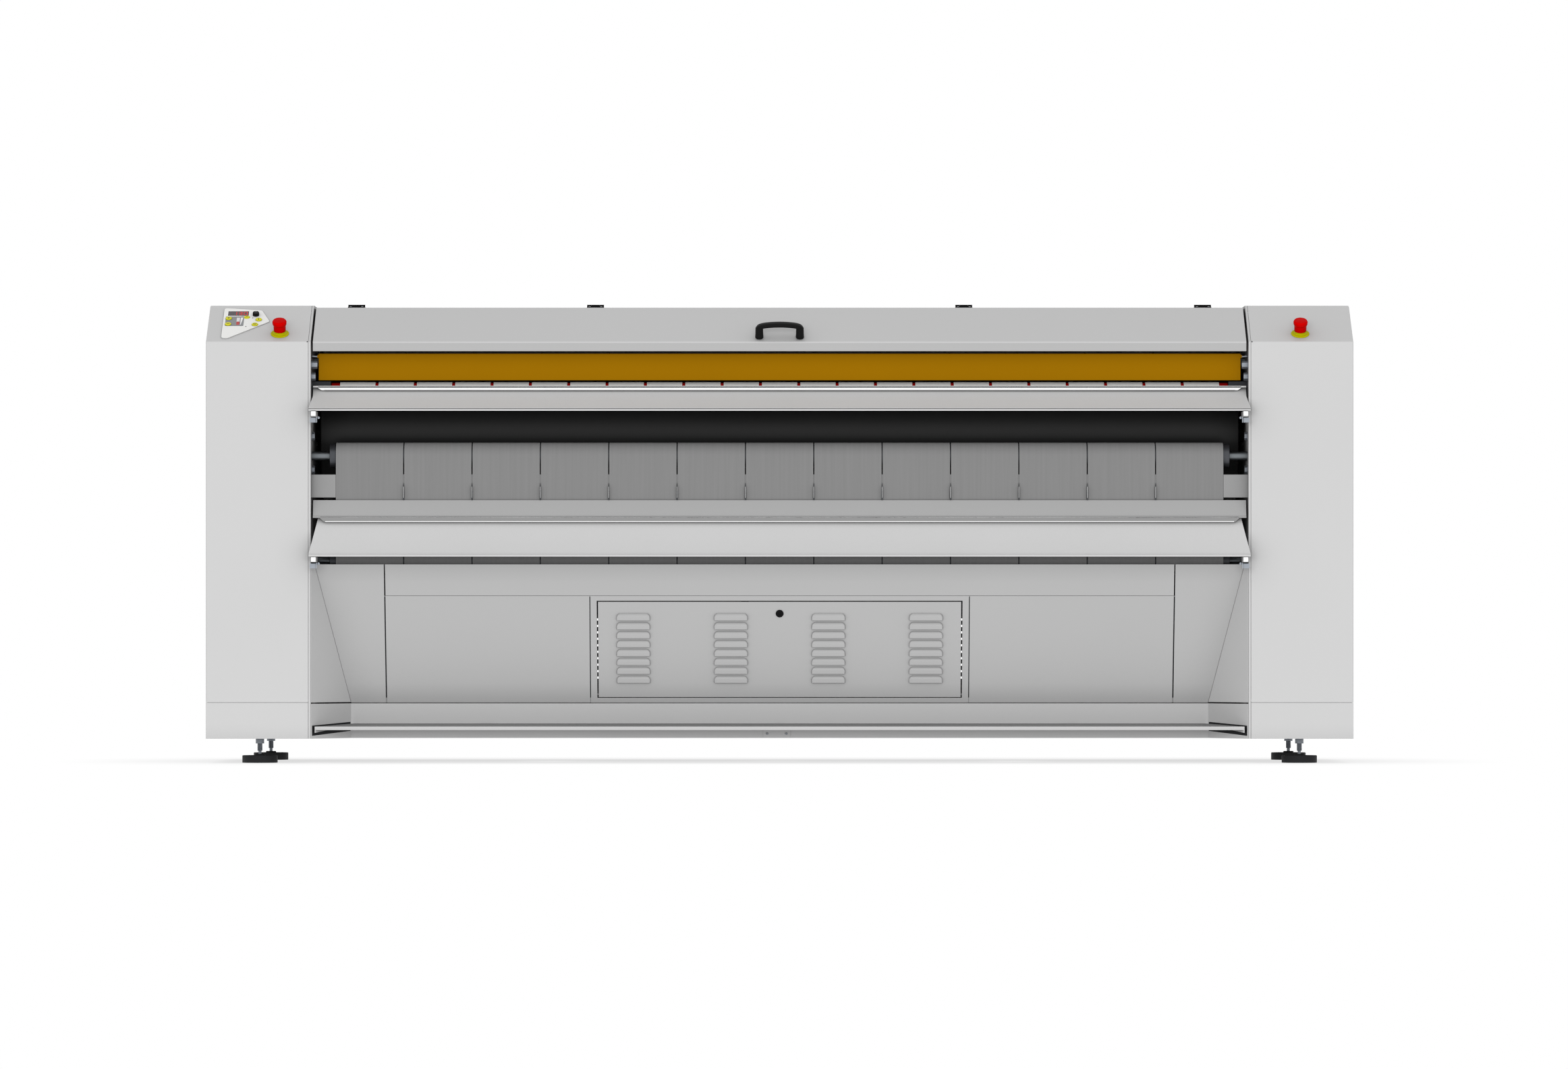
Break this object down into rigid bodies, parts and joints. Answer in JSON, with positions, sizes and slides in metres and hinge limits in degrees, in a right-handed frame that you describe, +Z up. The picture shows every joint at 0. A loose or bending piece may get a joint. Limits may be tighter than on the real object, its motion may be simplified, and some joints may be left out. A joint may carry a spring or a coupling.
{
  "type": "flatwork ironer",
  "caption": "Wide flatwork ironer: heated cylinder in ironing belts between two columns, feed belts, finger guard, return table, louvred door and foot treadle.",
  "frame": {"origin": "on the floor, at the centre of the machine's bounding box", "axes": "+Z up, +X along the cylinder to the right of the person at the tables, -Y towards that person"},
  "size_m": [3.108, 0.77, 1.2504],
  "materials": {
    "cover_enamel": "pale grey powder coat, fine texture",
    "front_enamel": "pale grey powder coat, smooth",
    "stainless": "brushed stainless steel sheet",
    "zinc_sheet": "galvanised sheet",
    "frame_enamel": "grey machine enamel",
    "amber_enamel": "amber yellow coating",
    "cylinder_steel": "polished dark steel",
    "roller_steel": "turned steel",
    "ironing_felt": "woven grey heat-proof belting",
    "feed_webbing": "white cotton webbing",
    "red_rubber": "red rubber sleeve",
    "motor_enamel": "blue grey enamel",
    "chain_steel": "oiled steel",
    "black_plastic": "moulded black plastic",
    "grey_plastic": "pale grey moulding",
    "display_glass": "dark display window",
    "yellow_plastic": "yellow moulding",
    "red_plastic": "red moulding",
    "foot_plastic": "black ribbed pad",
    "zinc_plated": "zinc plated steel"
  },
  "bodies": {
    "machine": {"side_frames": "frame_enamel", "base_frame": "frame_enamel", "rear_covers": "cover_enamel", "top_cover": "front_enamel", "left_cover": "cover_enamel", "right_cover": "cover_enamel", "plinth_covers": "cover_enamel", "fixed_hinge_leaves": "black_plastic", "infeed_table": "stainless", "return_table": "stainless", "table_arms": "cover_enamel", "side_guides": "zinc_sheet", "stripper_fingers": "black_plastic", "feed_belts": "feed_webbing", "feed_end_blocks": "frame_enamel", "ironing_belts": "ironing_felt", "bearings": "chain_steel", "heater_bank": "roller_steel", "gearmotor": "motor_enamel", "drive_chain": "chain_steel", "fan_housing": "zinc_sheet", "cable_gland": "black_plastic", "control_box": "zinc_sheet", "control_plate": "grey_plastic", "display": "display_glass", "estop_collars": "yellow_plastic", "body_panels": "front_enamel", "door_frame": "front_enamel", "toe_recess": "front_enamel", "treadle_springs": "zinc_plated", "foot_nuts": "zinc_plated"},
    "hood": {"hood": "front_enamel", "hood_hinge_leaves": "black_plastic", "hood_handle": "black_plastic"},
    "guard": {"finger_guard": "amber_enamel"},
    "cylinder": {"heated_cylinder": "cylinder_steel"},
    "fan": {"fan_impeller": "zinc_sheet"},
    "sprocket": {"motor_sprocket": "chain_steel"},
    "front_roller": {"front_roller": "roller_steel"},
    "lower_roller": {"lower_roller": "roller_steel"},
    "rear_roller": {"rear_roller": "roller_steel"},
    "top_rear_roller": {"top_rear_roller": "roller_steel"},
    "nip_roller": {"nip_roller": "roller_steel"},
    "feed_roller": {"feed_roller": "red_rubber"},
    "feed_idler": {"feed_idler": "roller_steel"},
    "plus_key": {"plus_key": "yellow_plastic"},
    "minus_key": {"minus_key": "yellow_plastic"},
    "menu_key": {"menu_key": "yellow_plastic"},
    "start_key": {"start_key": "yellow_plastic"},
    "stop_key": {"stop_key": "yellow_plastic"},
    "knob": {"knob": "black_plastic"},
    "left_estop": {"left_estop_cap": "red_plastic"},
    "right_estop": {"right_estop_cap": "red_plastic"},
    "treadle": {"treadle": "stainless"},
    "door": {"door": "front_enamel"},
    "lock": {"door_lock": "black_plastic"},
    "front_left_foot": {"front_left_foot": "foot_plastic"},
    "front_right_foot": {"front_right_foot": "foot_plastic"},
    "rear_left_foot": {"rear_left_foot": "foot_plastic"},
    "rear_right_foot": {"rear_right_foot": "foot_plastic"}
  },
  "joints": [
    {"name": "hood_lift", "type": "hinge", "parent": "machine", "child": "hood", "pos_m": [0, -0.0742, 1.2449], "axis": [-1, 0, 0], "range_deg": [0, 75]},
    {"name": "guard_swing", "type": "hinge", "parent": "machine", "child": "guard", "pos_m": [0, -0.287, 1.102], "axis": [1, 0, 0], "range_deg": [0, 20]},
    {"name": "cylinder_spin", "type": "hinge", "parent": "machine", "child": "cylinder", "pos_m": [0, -0.025, 0.905], "axis": [-1, 0, 0], "continuous": true},
    {"name": "front_roller_spin", "type": "hinge", "parent": "machine", "child": "front_roller", "pos_m": [0, -0.2652, 0.833], "axis": [-1, 0, 0], "continuous": true},
    {"name": "lower_roller_spin", "type": "hinge", "parent": "machine", "child": "lower_roller", "pos_m": [0, -0.2652, 0.548], "axis": [-1, 0, 0], "continuous": true},
    {"name": "rear_roller_spin", "type": "hinge", "parent": "machine", "child": "rear_roller", "pos_m": [0, 0.25, 0.548], "axis": [-1, 0, 0], "continuous": true},
    {"name": "top_rear_roller_spin", "type": "hinge", "parent": "machine", "child": "top_rear_roller", "pos_m": [0, 0.25, 1.085], "axis": [-1, 0, 0], "continuous": true},
    {"name": "nip_roller_spin", "type": "hinge", "parent": "machine", "child": "nip_roller", "pos_m": [0, -0.135, 1.09], "axis": [-1, 0, 0], "continuous": true},
    {"name": "feed_roller_spin", "type": "hinge", "parent": "machine", "child": "feed_roller", "pos_m": [0, -0.25, 1.0037], "axis": [-1, 0, 0], "continuous": true},
    {"name": "feed_idler_spin", "type": "hinge", "parent": "machine", "child": "feed_idler", "pos_m": [0, -0.187, 1.0177], "axis": [-1, 0, 0], "continuous": true},
    {"name": "sprocket_spin", "type": "hinge", "parent": "machine", "child": "sprocket", "pos_m": [1.322, -0.085, 0.5725], "axis": [-1, 0, 0], "continuous": true},
    {"name": "fan_spin", "type": "hinge", "parent": "machine", "child": "fan", "pos_m": [1.378, 0.073, 1.1154], "axis": [-1, 0, 0], "continuous": true},
    {"name": "treadle_press", "type": "hinge", "parent": "machine", "child": "treadle", "pos_m": [0, -0.133, 0.0997], "axis": [1, 0, 0], "range_deg": [0, 5], "stiffness_Nm_per_rad": 90, "springref_deg": -11.46, "deforming": ["treadle_springs"]},
    {"name": "door_open", "type": "hinge", "parent": "machine", "child": "door", "pos_m": [0, -0.18357, 0.18508], "axis": [1, 0, 0], "range_deg": [0, 80]},
    {"name": "lock_turn", "type": "hinge", "parent": "door", "child": "lock", "pos_m": [0, -0.26699, 0.4049], "axis": [0, -0.9451, -0.3268], "range_deg": [0, 90]},
    {"name": "knob_turn", "type": "hinge", "parent": "machine", "child": "knob", "pos_m": [-1.426, -0.19599, 1.21554], "axis": [0, -0.5003, 0.8659], "range_deg": [-150, 150]},
    {"name": "plus_press", "type": "slide", "parent": "machine", "child": "plus_key", "axis": [0, 0.5003, -0.8659], "range_m": [0, 0.001], "stiffness_N_per_m": 400, "springref_m": -0.001},
    {"name": "minus_press", "type": "slide", "parent": "machine", "child": "minus_key", "axis": [0, 0.5003, -0.8659], "range_m": [0, 0.001], "stiffness_N_per_m": 400, "springref_m": -0.001},
    {"name": "menu_press", "type": "slide", "parent": "machine", "child": "menu_key", "axis": [0, 0.5003, -0.8659], "range_m": [0, 0.001], "stiffness_N_per_m": 400, "springref_m": -0.001},
    {"name": "start_press", "type": "slide", "parent": "machine", "child": "start_key", "axis": [0, 0.5003, -0.8659], "range_m": [0, 0.001], "stiffness_N_per_m": 400, "springref_m": -0.001},
    {"name": "stop_press", "type": "slide", "parent": "machine", "child": "stop_key", "axis": [0, 0.5003, -0.8659], "range_m": [0, 0.001], "stiffness_N_per_m": 400, "springref_m": -0.001},
    {"name": "left_estop_press", "type": "slide", "parent": "machine", "child": "left_estop", "axis": [0, 0.5003, -0.8659], "range_m": [0, 0.004], "stiffness_N_per_m": 600, "springref_m": -0.004},
    {"name": "right_estop_press", "type": "slide", "parent": "machine", "child": "right_estop", "axis": [0, 0.5003, -0.8659], "range_m": [0, 0.004], "stiffness_N_per_m": 600, "springref_m": -0.004},
    {"name": "front_left_foot_screw", "type": "slide", "parent": "machine", "child": "front_left_foot", "axis": [0, 0, -1], "range_m": [0, 0.02]},
    {"name": "front_right_foot_screw", "type": "slide", "parent": "machine", "child": "front_right_foot", "axis": [0, 0, -1], "range_m": [0, 0.02]},
    {"name": "rear_left_foot_screw", "type": "slide", "parent": "machine", "child": "rear_left_foot", "axis": [0, 0, -1], "range_m": [0, 0.02]},
    {"name": "rear_right_foot_screw", "type": "slide", "parent": "machine", "child": "rear_right_foot", "axis": [0, 0, -1], "range_m": [0, 0.02]}
  ],
  "couplings": [
    {"joint": "front_roller_spin", "follows": "cylinder_spin", "ratio": -5.3846},
    {"joint": "lower_roller_spin", "follows": "cylinder_spin", "ratio": -5.3846},
    {"joint": "rear_roller_spin", "follows": "cylinder_spin", "ratio": -5.3846},
    {"joint": "top_rear_roller_spin", "follows": "cylinder_spin", "ratio": -5.3846},
    {"joint": "nip_roller_spin", "follows": "cylinder_spin", "ratio": -7},
    {"joint": "feed_roller_spin", "follows": "cylinder_spin", "ratio": 6.25},
    {"joint": "feed_idler_spin", "follows": "cylinder_spin", "ratio": 12.5},
    {"joint": "sprocket_spin", "follows": "cylinder_spin", "ratio": 2.5385}
  ]
}
